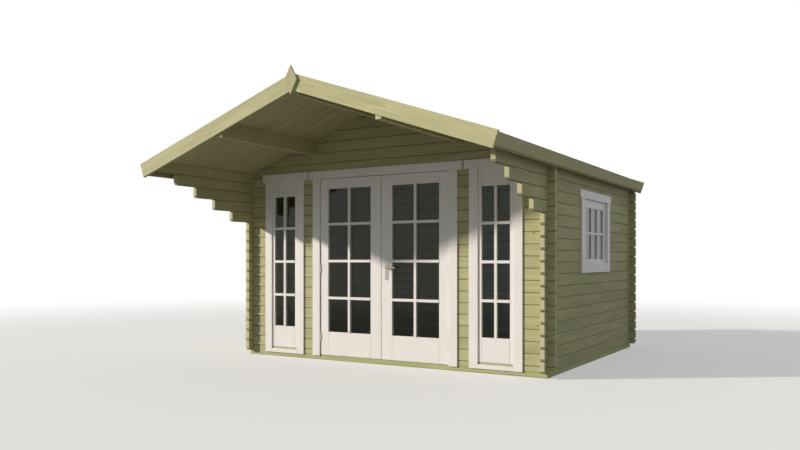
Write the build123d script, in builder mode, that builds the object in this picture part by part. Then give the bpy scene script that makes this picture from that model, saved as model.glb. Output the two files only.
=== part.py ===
from build123d import *
from math import ceil, cos, radians, sin, tan
import os

# Log walls
log_height = 114
log_thickness = 44
log_groove = 5
log_end_chamfer = 22
log_overhang = 75
house_width = 3640
house_depth = 2960
side_log_count = 18
corbel_log_count = 5
opening_log_count = 17

# Foundation and floor
beam_height = 48
beam_width = 70
floor_thickness = 19
floor_gap = 5

# Roof
roof_pitch = 18.9
front_overhang = 1465
board_thickness = 19
felt_thickness = 3
barge_thickness = 28
barge_height = 145
barge_upstand = 13
fascia_thickness = 18
fascia_height = 100
batten_thickness = 20
batten_height = 98
batten_gap = 0.5
purlin_width = 60
purlin_depth = 148
side_purlin_place = 891
finial_half_width = 72
finial_half_height = 131
finial_thickness = 20
finial_drop = 65

# White joinery
trim_width = 96
trim_thickness = 20
trim_bottom = 40
head_board_bottom = 1985
head_board_height = 88
head_board_overhang = 42
door_board_overhang = 53
head_board_gap = 16
frame_thickness = 45
frame_depth = 64
stop_width = 17

# Bare logs on the front wall, between the corner, the window and the door
corner_strip = 240
bare_strip = 127

# Double door
leaf_thickness = 40
leaf_gap = 5
meeting_gap = 7
hinge_stile = 107
meeting_stile = 130
door_glass_bottom = 309
door_glass_top = 1871
threshold_rise = 20

# Fixed windows beside the door
side_light_half_width = 183
side_light_bar = 43
side_light_stile = 36
side_light_glass_bottom = 344
side_light_glass_top = 1810

# Window in the right wall
window_half_width = 416
window_trim_bottom = 959
window_head_bottom = 1736
window_stile = 103
window_glass_bottom = 1103
window_glass_top = 1647

# Glass
glass_thickness = 6
glass_setback = 17
glass_rebate = 10
glass_play = 1

# Door hinges
hinge_radius = 6.5
hinge_half_height = 40
hinge_pin_radius = 3
hinge_play = 0.05
hinge_seat_gap = 0.5
hinge_plate = 3
hinge_plate_reach = 30
hinge_heights = (250, 1000, 1780)

# Door handle
handle_height = 1015
handle_plate_width = 40
handle_plate_below = 130
handle_plate_above = 58
handle_plate_thickness = 3
spindle_radius = 5
spindle_play = 1
lever_radius = 8
lever_neck_radius = 7
lever_neck = 38
lever_length = 125
lever_seat_gap = 0.5

# Places worked out from the sizes above
slope = tan(radians(roof_pitch))
half_width = house_width / 2
inner_half_width = half_width - log_thickness
roof_length = front_overhang + house_depth + log_overhang + barge_thickness
roof_front = -roof_length / 2
roof_rear = roof_length / 2
wall_front = roof_front + front_overhang
wall_rear = wall_front + house_depth
wall_middle = (wall_front + wall_rear) / 2
deck_front = roof_front + barge_thickness
deck_rear = roof_rear - barge_thickness
corbel_step = (wall_front - log_overhang - deck_front) / corbel_log_count
front_base = beam_height + log_height / 2
side_wall_top = beam_height + side_log_count * log_height
corbel_base = side_wall_top - corbel_log_count * log_height
opening_top = front_base + opening_log_count * log_height
ridge_height = side_wall_top + inner_half_width * slope
ridge_log_count = ceil((ridge_height - front_base) / log_height)
barge_top = board_thickness + felt_thickness + barge_upstand
log_end = half_width + log_overhang
batten_foot = (log_end + batten_gap) / cos(radians(roof_pitch)) + batten_height * slope
roof_reach = batten_foot + batten_thickness + fascia_thickness
side_light_place = half_width - corner_strip - trim_width - side_light_half_width
door_half_width = side_light_place - side_light_half_width - bare_strip - 2 * trim_width
head_board_end = door_half_width + trim_width + door_board_overhang
rough_door_half = door_half_width + frame_thickness
rough_light_half = side_light_half_width + frame_thickness
rough_window_half = window_half_width + frame_thickness
window_bottom = window_trim_bottom + trim_width
leaf_edge = door_half_width - leaf_gap
leaf_top = head_board_bottom - leaf_gap
leaf_bottom = beam_height + leaf_gap
floor_top = beam_height + floor_thickness
stop_front = leaf_thickness + leaf_gap
stop_edge = door_half_width - stop_width
hinge_x = leaf_edge - hinge_radius
hinge_y = wall_front - hinge_seat_gap - hinge_radius
handle_x = (meeting_gap + meeting_stile) / 2

front_face = Plane.XZ.offset(-wall_front)
rear_face = Plane.XZ.offset(log_thickness - wall_rear)
right_face = Plane.YZ.offset(half_width)
left_face = Plane.YZ.offset(-inner_half_width)


def roof_under(x):
    """Height of the underside of the roof boards."""
    return ridge_height - abs(x) * slope


def purlin_bottom(x):
    return roof_under(x) - purlin_depth


def front_courses(first, last):
    """Bottom and top of each log across the house; course 0 is the half log on the beam."""
    tops = [front_base + i * log_height for i in range(first, last + 1)]
    return [(max(top - log_height, beam_height), top) for top in tops]


def side_courses(first, last):
    """Bottom and top of each log that runs from front to rear."""
    return [(beam_height + i * log_height, beam_height + (i + 1) * log_height) for i in range(first, last)]


def joint_heights(courses):
    return [bottom for bottom, top in courses] + [courses[-1][1]]


def butt_end(place, courses):
    """Square end of a stack of logs, from the bottom up."""
    return [(place, courses[0][0]), (place, courses[-1][1])]


def free_end(places, courses, facing):
    """Free log ends from the bottom up, each with its lower corner cut off."""
    points = []
    for place, (bottom, top) in zip(places, courses):
        cut = [(place - facing * log_end_chamfer, bottom), (place, bottom + log_end_chamfer)]
        points += cut + [(place, top)]
    return points


def section_side(face, courses, facing):
    """One face of a wall from the bottom up, with a groove at each joint between logs."""
    inset = face - facing * log_groove
    points = [(inset, courses[0][0])]
    for bottom, top in courses:
        points += [(face, bottom + log_groove), (face, top - log_groove), (inset, top)]
    return points


def house_outline():
    """The house from the front, under its roof boards."""
    eaves = roof_under(log_end)
    return [(-log_end, 0), (log_end, 0), (log_end, eaves), (0, ridge_height), (-log_end, eaves)]


def opening(low_x, high_x, low_z, high_z, mode=Mode.ADD):
    """Rectangle between two corners."""
    with Locations((low_x, low_z)):
        Rectangle(high_x - low_x, high_z - low_z, align=Align.MIN, mode=mode)


def cross_wall(face, courses, outlines, gable=False):
    """Logs that run across the house, notched where the side walls' logs cross them."""
    outer = face.origin.Y
    with BuildPart() as wall:
        with BuildSketch(face):
            for left, right in outlines:
                Polygon(*right, *reversed(left), align=None)
            column = half_width - log_thickness / 2
            crossings = [z for z in joint_heights(courses) if z > beam_height]
            with Locations(*((x, z) for x in (-column, column) for z in crossings)):
                Rectangle(log_thickness, log_height / 2, mode=Mode.SUBTRACT)
            if gable:
                Polygon(*house_outline(), align=None, mode=Mode.INTERSECT)
                for x in (-side_purlin_place, 0, side_purlin_place):
                    low, high = x - purlin_width / 2, x + purlin_width / 2
                    opening(low, high, purlin_bottom(x), ridge_height, Mode.SUBTRACT)
        extrude(amount=-log_thickness)
        with BuildSketch(Plane.YZ):
            front_side = section_side(outer, courses, -1)
            rear_side = section_side(outer + log_thickness, courses, 1)
            Polygon(*rear_side, *reversed(front_side), align=None)
        extrude(amount=house_width, both=True, mode=Mode.INTERSECT)
    return wall


def side_wall(face, courses, window=False):
    """Logs that run from front to rear; the top ones step out in front to carry the porch roof."""
    outer = face.origin.X
    steps = [max(0, round((top - corbel_base) / log_height)) for bottom, top in courses]
    fronts = [wall_front - log_overhang - step * corbel_step for step in steps]
    rears = [wall_rear + log_overhang] * len(courses)
    with BuildPart() as wall:
        with BuildSketch(face):
            Polygon(*free_end(rears, courses, 1), *reversed(free_end(fronts, courses, -1)), align=None)
            columns = (wall_front + log_thickness / 2, wall_rear - log_thickness / 2)
            with Locations(*((y, z) for y in columns for z in joint_heights(courses))):
                Rectangle(log_thickness, log_height / 2, mode=Mode.SUBTRACT)
            if window:
                opening(
                    wall_middle - rough_window_half, wall_middle + rough_window_half,
                    window_bottom - frame_thickness, window_head_bottom + frame_thickness, Mode.SUBTRACT,
                )
        extrude(amount=-log_thickness)
        with BuildSketch(Plane.XZ):
            left_side = section_side(outer - log_thickness, courses, -1)
            right_side = section_side(outer, courses, 1)
            Polygon(*right_side, *reversed(left_side), align=None)
            Polygon(*house_outline(), align=None, mode=Mode.INTERSECT)
        extrude(amount=roof_length, both=True, mode=Mode.INTERSECT)
    return wall


def along_roof(outline, spans, sides=(-1, 1)):
    """Pieces with one section down the slope, left (-1) and right (1) of the ridge.

    The section's x runs down the slope from the ridge, and its y stands up from the underside of the boards.
    """
    down = radians(roof_pitch)
    with BuildPart() as piece:
        for side in sides:
            for front, rear in spans:
                start = rear if side > 0 else front
                across = Plane(
                    origin=(0, start, ridge_height),
                    x_dir=(side * cos(down), 0, -sin(down)),
                    z_dir=(0, -side, 0),
                )
                with BuildSketch(across):
                    Polygon(*outline, align=None)
                extrude(amount=rear - front)
    return piece


def from_ridge(low, high, reach):
    """Section of a board that is mitred at the ridge and cut square at the eaves."""
    return [(-low * slope, low), (reach, low), (reach, high), (-high * slope, high)]


def glazed_panel(face, outline, pane, depth, bore=None):
    """A white frame with a rebated opening, and the sheet of glass that sits in the rebate."""
    left, right, bottom, top = pane
    with BuildPart() as frame:
        with BuildSketch(face):
            opening(*outline)
            opening(*pane, Mode.SUBTRACT)
            if bore:
                with Locations(bore):
                    Circle(spindle_radius + spindle_play, mode=Mode.SUBTRACT)
        extrude(amount=-depth)
        with BuildSketch(face.offset(-glass_setback)):
            opening(left - glass_rebate, right + glass_rebate, bottom - glass_rebate, top + glass_rebate)
        extrude(amount=glass_setback - depth, mode=Mode.SUBTRACT)
    edge = glass_rebate - glass_play
    with BuildPart() as glass:
        with BuildSketch(face.offset(-glass_setback)):
            opening(left - edge, right + edge, bottom - edge, top + edge)
        extrude(amount=-glass_thickness)
    return frame, glass


def export(piece, name):
    piece.part.label = name
    export_step(piece.part, f"parts/{name}.step")


def make_foundation():
    for name, side in (("front_foundation_beam", -1), ("rear_foundation_beam", 1)):
        with BuildPart() as beam:
            with BuildSketch():
                with Locations((0, wall_middle + side * (house_depth - beam_width) / 2)):
                    Rectangle(house_width, beam_width)
            extrude(amount=beam_height)
        export(beam, name)

    with BuildPart() as side_beams:
        with BuildSketch():
            x = half_width - beam_width / 2
            with Locations((-x, wall_middle), (x, wall_middle)):
                Rectangle(beam_width, house_depth - 2 * beam_width)
        extrude(amount=beam_height)
    export(side_beams, "side_foundation_beams")

    edge = inner_half_width - floor_gap
    with BuildPart() as floor:
        with BuildSketch(Plane.XY.offset(beam_height)):
            inset = log_thickness + floor_gap
            opening(-edge, edge, wall_front + inset, wall_rear - inset)
            notch = rough_door_half + floor_gap
            opening(-notch, notch, wall_front, wall_front + frame_depth + floor_gap, Mode.SUBTRACT)
        extrude(amount=floor_thickness)
    export(floor, "floor")


def make_walls():
    sill = front_courses(0, 0)
    right_sill = (butt_end(rough_door_half, sill), free_end([log_end], sill, 1))
    left_sill = (free_end([-log_end], sill, -1), butt_end(-rough_door_half, sill))
    export(cross_wall(front_face, sill, [left_sill, right_sill]), "front_sill_logs")

    beside = front_courses(1, opening_log_count)
    count = len(beside)
    outer_edge = side_light_place + rough_light_half
    inner_edge = side_light_place - rough_light_half
    left_end = (free_end([-log_end] * count, beside, -1), butt_end(-outer_edge, beside))
    right_end = (butt_end(outer_edge, beside), free_end([log_end] * count, beside, 1))
    left_pier = (butt_end(-inner_edge, beside), butt_end(-rough_door_half, beside))
    right_pier = (butt_end(rough_door_half, beside), butt_end(inner_edge, beside))
    export(cross_wall(front_face, beside, [left_end]), "front_wall_left_end")
    export(cross_wall(front_face, beside, [left_pier, right_pier]), "front_wall_piers")
    export(cross_wall(front_face, beside, [right_end]), "front_wall_right_end")

    for name, face, first in (
        ("front_gable", front_face, opening_log_count + 1),
        ("rear_wall", rear_face, 0),
    ):
        courses = front_courses(first, ridge_log_count)
        ends = [log_end] * len(courses)
        left = free_end([-end for end in ends], courses, -1)
        export(cross_wall(face, courses, [(left, free_end(ends, courses, 1))], gable=True), name)

    straight = side_courses(0, side_log_count - corbel_log_count)
    stepped = side_courses(side_log_count - corbel_log_count, side_log_count)
    export(side_wall(left_face, straight), "left_wall")
    export(side_wall(left_face, stepped), "left_eaves_logs")
    export(side_wall(right_face, straight, window=True), "right_wall")
    export(side_wall(right_face, stepped, window=True), "right_eaves_logs")


def make_roof():
    deck = [(deck_front, deck_rear)]
    for name, places in (("ridge_purlin", [0]), ("side_purlins", [-side_purlin_place, side_purlin_place])):
        with BuildPart() as purlins:
            with BuildSketch(Plane.XZ.offset(-deck_rear)):
                for x in places:
                    opening(x - purlin_width / 2, x + purlin_width / 2, purlin_bottom(x), ridge_height)
                Polygon(*house_outline(), align=None, mode=Mode.INTERSECT)
            extrude(amount=deck_rear - deck_front)
        export(purlins, name)

    board_end = roof_reach - fascia_thickness
    boards = from_ridge(0, board_thickness, board_end)
    export(along_roof(boards, deck, sides=(-1,)), "left_roof_boards")
    export(along_roof(boards, deck, sides=(1,)), "right_roof_boards")
    felt = from_ridge(board_thickness, board_thickness + felt_thickness, roof_reach)
    export(along_roof(felt, deck), "roofing_felt")

    fascia_bottom = board_thickness - fascia_height
    fascia = [
        (board_end, fascia_bottom), (roof_reach, fascia_bottom),
        (roof_reach, board_thickness), (board_end, board_thickness),
    ]
    export(along_roof(fascia, deck), "eaves_fascias")
    batten_start = board_end - batten_thickness
    batten = [(batten_start, -batten_height), (board_end, -batten_height), (board_end, 0), (batten_start, 0)]
    export(along_roof(batten, deck), "eaves_battens")

    barge = from_ridge(barge_top - barge_height, barge_top, roof_reach)
    ends = [(roof_front, deck_front), (deck_rear, roof_rear)]
    export(along_roof(barge, ends, sides=(-1,)), "left_barge_boards")
    export(along_roof(barge, ends, sides=(1,)), "right_barge_boards")

    finial_height = ridge_height + barge_top / cos(radians(roof_pitch)) - finial_drop
    with BuildPart() as finials:
        for face in (Plane.XZ.offset(-roof_front), Plane.XZ.offset(-roof_rear - finial_thickness)):
            with BuildSketch(face):
                Polygon(
                    (0, finial_height - finial_half_height), (finial_half_width, finial_height),
                    (0, finial_height + finial_half_height), (-finial_half_width, finial_height), align=None,
                )
            extrude(amount=finial_thickness)
    export(finials, "ridge_finials")


def make_door_frame():
    head_top = head_board_bottom + frame_thickness
    stops = front_face.offset(-stop_front)
    stop_depth = frame_depth - stop_front
    with BuildPart() as jambs:
        for side in (-1, 1):
            inner, outer = sorted((side * door_half_width, side * rough_door_half))
            with BuildSketch(front_face):
                opening(inner, outer, beam_height, head_top)
            extrude(amount=-frame_depth)
            inner, outer = sorted((side * stop_edge, side * door_half_width))
            with BuildSketch(stops):
                opening(inner, outer, beam_height, head_board_bottom)
            extrude(amount=-stop_depth)
    export(jambs, "door_jambs")

    with BuildPart() as head:
        with BuildSketch(front_face):
            opening(-door_half_width, door_half_width, head_board_bottom, head_top)
        extrude(amount=-frame_depth)
        with BuildSketch(stops):
            opening(-stop_edge, stop_edge, head_board_bottom - stop_width, head_board_bottom)
        extrude(amount=-stop_depth)
    export(head, "door_head")

    with BuildPart() as threshold:
        with BuildSketch(stops):
            opening(-stop_edge, stop_edge, beam_height, floor_top + threshold_rise)
        extrude(amount=-stop_depth)
    export(threshold, "door_threshold")

    with BuildPart() as trims:
        with BuildSketch(front_face):
            opening(-door_half_width - trim_width, -door_half_width, trim_bottom, head_board_bottom)
            opening(door_half_width, door_half_width + trim_width, trim_bottom, head_board_bottom)
        extrude(amount=trim_thickness)
    export(trims, "door_side_trims")

    with BuildPart() as head_board:
        with BuildSketch(front_face):
            opening(-head_board_end, head_board_end, head_board_bottom, head_board_bottom + head_board_height)
        extrude(amount=trim_thickness)
    export(head_board, "door_head_board")


def make_side_lights():
    head_top = head_board_bottom + head_board_height
    for name, side in (("left", -1), ("right", 1)):
        middle = side * side_light_place
        glass_half = side_light_half_width - side_light_stile
        frame, glass = glazed_panel(
            front_face,
            (middle - rough_light_half, middle + rough_light_half, front_base, opening_top),
            (middle - glass_half, middle + glass_half, side_light_glass_bottom, side_light_glass_top),
            log_thickness,
        )
        export(frame, f"{name}_window_frame")
        export(glass, f"{name}_window_glass")

        trim_edge = side_light_half_width + trim_width
        board_start = head_board_end + head_board_gap
        board_end = side_light_place + trim_edge + head_board_overhang
        low, high = sorted((side * board_start, side * board_end))
        with BuildPart() as surround:
            with BuildSketch(front_face):
                opening(middle - trim_edge, middle - side_light_half_width, trim_bottom, head_board_bottom)
                opening(middle + side_light_half_width, middle + trim_edge, trim_bottom, head_board_bottom)
                opening(middle - trim_edge, middle + trim_edge, trim_bottom, trim_bottom + side_light_bar)
                opening(low, high, head_board_bottom, head_top)
            extrude(amount=trim_thickness)
        export(surround, f"{name}_window_surround")


def make_side_window():
    glass_half = window_half_width - window_stile
    frame, glass = glazed_panel(
        right_face,
        (
            wall_middle - rough_window_half, wall_middle + rough_window_half,
            window_bottom - frame_thickness, window_head_bottom + frame_thickness,
        ),
        (wall_middle - glass_half, wall_middle + glass_half, window_glass_bottom, window_glass_top),
        log_thickness,
    )
    export(frame, "side_window_frame")
    export(glass, "side_window_glass")

    trim_edge = window_half_width + trim_width
    board_edge = trim_edge + head_board_overhang
    with BuildPart() as surround:
        with BuildSketch(right_face):
            opening(wall_middle - trim_edge, wall_middle + trim_edge, window_trim_bottom, window_head_bottom)
            opening(
                wall_middle - window_half_width, wall_middle + window_half_width,
                window_bottom, window_head_bottom, Mode.SUBTRACT,
            )
            opening(
                wall_middle - board_edge, wall_middle + board_edge,
                window_head_bottom, window_head_bottom + head_board_height,
            )
        extrude(amount=trim_thickness)
    export(surround, "side_window_surround")


def make_door_leaves():
    for name, side in (("left", -1), ("right", 1)):
        low, high = sorted((side * meeting_gap / 2, side * leaf_edge))
        inner_edge = side * (meeting_gap / 2 + meeting_stile)
        glass_low, glass_high = sorted((inner_edge, side * (leaf_edge - hinge_stile)))
        leaf, glass = glazed_panel(
            front_face,
            (low, high, leaf_bottom, leaf_top),
            (glass_low, glass_high, door_glass_bottom, door_glass_top),
            leaf_thickness,
            bore=(handle_x, handle_height) if side > 0 else None,
        )
        export(leaf, f"{name}_door_leaf")
        export(glass, f"{name}_door_glass")


def make_hinges():
    half = hinge_half_height - hinge_seat_gap / 2
    with BuildPart() as pins:
        for side in (-1, 1):
            jamb = side * door_half_width
            plate_edges = sorted((jamb - side * hinge_plate, jamb))
            web_edges = sorted((side * hinge_x, jamb))
            web_low = hinge_y - hinge_plate / 2
            for height in hinge_heights:
                with BuildSketch(Plane.XY.offset(height - hinge_half_height)):
                    with Locations((side * hinge_x, hinge_y)):
                        Circle(hinge_radius)
                    opening(*plate_edges, web_low, wall_front + hinge_plate_reach)
                    opening(*web_edges, web_low, web_low + hinge_plate)
                extrude(amount=half)
                with BuildSketch(Plane.XY.offset(height - hinge_half_height)):
                    with Locations((side * hinge_x, hinge_y)):
                        Circle(hinge_pin_radius)
                extrude(amount=2 * hinge_half_height)
    export(pins, "door_hinge_pins")

    for name, side in (("left", -1), ("right", 1)):
        plate_edges = sorted((side * (hinge_x - hinge_plate_reach), side * hinge_x))
        with BuildPart() as knuckles:
            for height in hinge_heights:
                with BuildSketch(Plane.XY.offset(height + hinge_seat_gap / 2)):
                    with Locations((side * hinge_x, hinge_y)):
                        Circle(hinge_radius)
                    opening(*plate_edges, wall_front - hinge_plate, wall_front)
                    with Locations((side * hinge_x, hinge_y)):
                        Circle(hinge_pin_radius + hinge_play, mode=Mode.SUBTRACT)
                extrude(amount=half)
        export(knuckles, f"{name}_door_hinges")


def make_handle():
    sides = (
        (front_face, 1),
        (front_face.offset(-leaf_thickness), -1),
    )
    with BuildPart() as plates:
        for face, outward in sides:
            with BuildSketch(face):
                half = handle_plate_width / 2
                opening(
                    handle_x - half, handle_x + half,
                    handle_height - handle_plate_below, handle_height + handle_plate_above,
                )
                with Locations((handle_x, handle_height)):
                    Circle(spindle_radius + spindle_play, mode=Mode.SUBTRACT)
            extrude(amount=outward * handle_plate_thickness)
    export(plates, "handle_plates")

    grip_offset = handle_plate_thickness + lever_neck
    with BuildPart() as lever:
        with BuildSketch(front_face.offset(grip_offset)):
            with Locations((handle_x, handle_height)):
                Circle(spindle_radius)
        extrude(amount=-(leaf_thickness + 2 * grip_offset))
        for face, outward in sides:
            neck_start = face.offset(outward * (handle_plate_thickness + lever_seat_gap))
            with BuildSketch(neck_start):
                with Locations((handle_x, handle_height)):
                    Circle(lever_neck_radius)
            extrude(amount=outward * (lever_neck - lever_seat_gap))
            grip_y = face.origin.Y - outward * grip_offset
            with BuildSketch(Plane.YZ.offset(handle_x - lever_radius)):
                with Locations((grip_y, handle_height)):
                    Circle(lever_radius)
            extrude(amount=lever_length + lever_radius)
    export(lever, "door_lever")


os.makedirs("parts", exist_ok=True)
make_foundation()
make_walls()
make_roof()
make_door_frame()
make_side_lights()
make_side_window()
make_door_leaves()
make_hinges()
make_handle()
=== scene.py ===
import math

import bpy
from mathutils import Matrix, Vector


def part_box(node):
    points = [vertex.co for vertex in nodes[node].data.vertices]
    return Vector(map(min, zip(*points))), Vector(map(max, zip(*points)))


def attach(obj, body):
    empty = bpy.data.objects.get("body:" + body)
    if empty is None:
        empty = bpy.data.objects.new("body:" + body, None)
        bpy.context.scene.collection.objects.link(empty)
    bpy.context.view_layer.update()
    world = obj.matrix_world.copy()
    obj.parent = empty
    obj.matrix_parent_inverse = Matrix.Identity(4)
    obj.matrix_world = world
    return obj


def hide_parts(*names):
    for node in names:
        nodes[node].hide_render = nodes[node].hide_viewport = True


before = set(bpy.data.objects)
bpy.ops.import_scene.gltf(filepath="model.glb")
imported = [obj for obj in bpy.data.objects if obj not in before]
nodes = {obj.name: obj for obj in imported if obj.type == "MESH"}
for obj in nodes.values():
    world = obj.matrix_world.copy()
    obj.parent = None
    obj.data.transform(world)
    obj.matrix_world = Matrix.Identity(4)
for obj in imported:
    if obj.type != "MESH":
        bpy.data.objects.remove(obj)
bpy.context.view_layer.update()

mm = 0.001
print("frame loaded:", len(nodes), "nodes")

# Camera fitted to the picture: level, turned to the left, view shifted up a little
cameraSet = {"place": (4.259, -7.446, 1.097), "turn": 31.226, "lens": 33.892, "shiftUp": 0.0434}
bpy.ops.object.camera_add(
    location=cameraSet["place"], rotation=(math.radians(90), 0, math.radians(cameraSet["turn"]))
)
camera = bpy.context.object
camera.name = "view_camera"
camera.data.lens = cameraSet["lens"]
camera.data.shift_y = cameraSet["shiftUp"]
bpy.context.scene.camera = camera


# small helpers for nodes and modelling
def linearColour(hexText):
    parts = [int(hexText[i:i + 2], 16) / 255 for i in (1, 3, 5)]
    return [p / 12.92 if p <= 0.04045 else ((p + 0.055) / 1.055) ** 2.4 for p in parts] + [1]


def addNode(tree, kind, links=None, stops=None, **settings):
    node = tree.nodes.new("ShaderNode" + kind)
    for name, value in settings.items():
        setattr(node, name, value)
    for socket, value in (links or {}).items():
        if isinstance(value, bpy.types.NodeSocket):
            tree.links.new(value, node.inputs[socket])
        else:
            node.inputs[socket].default_value = value
    for number, (place, colour) in enumerate(stops or []):
        if number >= len(node.color_ramp.elements):
            node.color_ramp.elements.new(place)
        node.color_ramp.elements[number].position = place
        node.color_ramp.elements[number].color = linearColour(colour)
    return node


def newMaterial(name):
    material = bpy.data.materials.new(name)
    material.use_nodes = True
    material.node_tree.nodes.clear()
    return material, material.node_tree


def addSquareness(tree, place, turn):
    # 1 where the normal lies along one of the board's own axes, less on its arrises
    squared = addNode(
        tree, "Mapping", {"Vector": place.outputs["Normal"], "Rotation": turn}, vector_type="NORMAL"
    )
    squared = addNode(tree, "VectorMath", {0: squared.outputs[0]}, operation="ABSOLUTE")
    sides = addNode(tree, "SeparateXYZ", {0: squared.outputs[0]})
    widest = addNode(tree, "Math", {0: sides.outputs[0], 1: sides.outputs[1]}, operation="MAXIMUM")
    return addNode(tree, "Math", {0: widest.outputs[0], 1: sides.outputs[2]}, operation="MAXIMUM")


def addDirectRays(tree, seen):
    # 1 for what the camera sees, straight on, mirrored or through glass, and 0 for light on the object
    direct = addNode(
        tree, "Math", {0: seen.outputs["Is Camera Ray"], 1: seen.outputs["Is Glossy Ray"]},
        operation="MAXIMUM",
    )
    return addNode(
        tree, "Math", {0: direct.outputs[0], 1: seen.outputs["Is Transmission Ray"]}, operation="MAXIMUM"
    )


# Pressure-treated pine: planed softwood with a green-yellow salt treatment gone dull in the weather.
# To the eye: matt, streaky along the grain, small knots, no two logs quite the same shade.
# Its year rings are 2 to 4 mm apart, too fine to show from 8 m, so they are drawn 13 mm apart.
treatedPine = {
    "light": "#C1BB8E", "middle": "#B6B184", "dark": "#A49E70", "stain": "#A3A578",
    "knot": "#837650", "worn": "#DAD7B4", "rough": (0.62, 0.8), "bump": 0.5, "knots": 0.5,
}
# Fresher treatment on the foundation beams: the same wood, greener
freshPine = {
    "light": "#C0C28D", "middle": "#B4B77E", "dark": "#9DA166", "stain": "#9CA56D",
    "knot": "#7F7D50", "worn": "#DADCB2", "rough": (0.62, 0.8), "bump": 0.5, "knots": 0.4,
}
# Planed spruce floor boards, unoiled: pale, warm, with darker latewood lines
sprucePlaned = {
    "light": "#DDC39A", "middle": "#D0B285", "dark": "#B8925F", "stain": "#C9A873",
    "knot": "#8A5F38", "worn": "#E6D2B0", "rough": (0.5, 0.66), "bump": 0.35, "knots": 0.4,
}


def makeTimber(
    name, wood, turn=(0, 0, 0), along=(1, 0, 0), step=1.0, first=0.0, seed=0.0, jointShade=0.62
):
    # turn brings x along the grain, y through the board and z up the stack of boards, which are step
    # apart from first on; along is the grain's way before that
    material, tree = newMaterial(name)
    place = addNode(tree, "TexCoord")
    turned = addNode(tree, "Mapping", {"Vector": place.outputs["Object"], "Rotation": turn})
    parts = addNode(tree, "SeparateXYZ", {0: turned.outputs[0]})
    height = addNode(tree, "Math", {0: parts.outputs[2], 1: first}, operation="SUBTRACT")
    count = addNode(tree, "Math", {0: height.outputs[0], 1: step}, operation="DIVIDE")
    index = addNode(tree, "Math", {0: count.outputs[0]}, operation="FLOOR")
    within = addNode(tree, "Math", {0: count.outputs[0]}, operation="FRACT")
    seeded = addNode(tree, "Math", {0: index.outputs[0], 1: seed}, operation="ADD")
    chance = addNode(tree, "TexWhiteNoise", {"W": seeded.outputs[0]}, noise_dimensions="1D")

    # each board is cut from its own place in its own tree
    middle = addNode(tree, "Math", {0: within.outputs[0], 1: step, 2: -step / 2}, operation="MULTIPLY_ADD")
    flat = addNode(tree, "CombineXYZ", {0: parts.outputs[0], 1: parts.outputs[1], 2: middle.outputs[0]})
    shift = addNode(
        tree, "VectorMath", {0: chance.outputs["Color"], 1: (37.0, 0.11, 0.16), 2: (0, 0.02, -0.08)},
        operation="MULTIPLY_ADD",
    )
    local = addNode(tree, "VectorMath", {0: flat.outputs[0], 1: shift.outputs[0]}, operation="ADD")

    # knots: branches that pass through the board, 10 to 30 mm across
    spread = addNode(tree, "SeparateXYZ", {0: local.outputs[0]})
    onFace = addNode(tree, "CombineXYZ", {0: spread.outputs[0], 1: spread.outputs[2]})
    knotCells = addNode(
        tree, "TexVoronoi", {"Vector": onFace.outputs[0], "Scale": 3.2}, voronoi_dimensions="2D"
    )
    knotChance = addNode(tree, "SeparateColor", {0: knotCells.outputs["Color"]})
    knotSize = addNode(tree, "MapRange", {
        "Value": knotChance.outputs[0], "From Min": 1 - wood["knots"], "From Max": 1.0,
        "To Min": 0.0001, "To Max": 0.045,
    })
    knotRatio = addNode(
        tree, "Math", {0: knotCells.outputs["Distance"], 1: knotSize.outputs[0]}, operation="DIVIDE"
    )
    knot = addNode(tree, "MapRange", {
        "Value": knotRatio.outputs[0], "From Min": 0.55, "From Max": 1.25, "To Min": 0.85, "To Max": 0.0,
    }, interpolation_type="SMOOTHSTEP")
    bend = addNode(tree, "MapRange", {
        "Value": knotRatio.outputs[0], "From Min": 0.4, "From Max": 4.0, "To Min": 0.016, "To Max": 0.0,
    }, interpolation_type="SMOOTHSTEP")

    # year rings, bent by slow noise and round the knots
    slowSpace = addNode(
        tree, "VectorMath", {0: local.outputs[0], 1: (0.9, 6.0, 6.0)}, operation="MULTIPLY"
    )
    slow = addNode(tree, "TexNoise", {"Vector": slowSpace.outputs[0], "Scale": 1.0, "Detail": 2.0})
    warp = addNode(
        tree, "VectorMath", {0: slow.outputs["Color"], 1: (0, 0.05, 0.05), 2: local.outputs[0]},
        operation="MULTIPLY_ADD",
    )
    pushed = addNode(tree, "CombineXYZ", {1: bend.outputs[0], 2: bend.outputs[0]})
    ringSpace = addNode(tree, "VectorMath", {0: warp.outputs[0], 1: pushed.outputs[0]}, operation="ADD")
    rings = addNode(tree, "TexWave", {
        "Vector": ringSpace.outputs[0], "Scale": 24.0, "Distortion": 0.8, "Detail": 1.0, "Detail Scale": 2.0,
    }, wave_type="RINGS", rings_direction="X", wave_profile="SAW")

    # streaks 20 mm wide and fibres 3 mm wide, both long; they and the rings add up to the tone
    streakSpace = addNode(
        tree, "VectorMath", {0: ringSpace.outputs[0], 1: (1.6, 48.0, 48.0)}, operation="MULTIPLY"
    )
    streaks = addNode(tree, "TexNoise", {"Vector": streakSpace.outputs[0], "Scale": 1.0, "Detail": 3.0})
    fibreSpace = addNode(
        tree, "VectorMath", {0: local.outputs[0], 1: (9.0, 330.0, 330.0)}, operation="MULTIPLY"
    )
    fibres = addNode(tree, "TexNoise", {"Vector": fibreSpace.outputs[0], "Scale": 1.0, "Detail": 2.0})
    tone = addNode(tree, "Math", {0: rings.outputs["Fac"], 1: 0.22, 2: -0.04}, operation="MULTIPLY_ADD")
    for noise, share in ((streaks, 0.62), (fibres, 0.3)):
        tone = addNode(
            tree, "Math", {0: noise.outputs["Fac"], 1: share, 2: tone.outputs[0]}, operation="MULTIPLY_ADD"
        )
    wash = addNode(
        tree, "ValToRGB", {0: tone.outputs[0]},
        stops=[(0.28, wood["light"]), (0.52, wood["middle"]), (0.82, wood["dark"])],
    )

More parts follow.
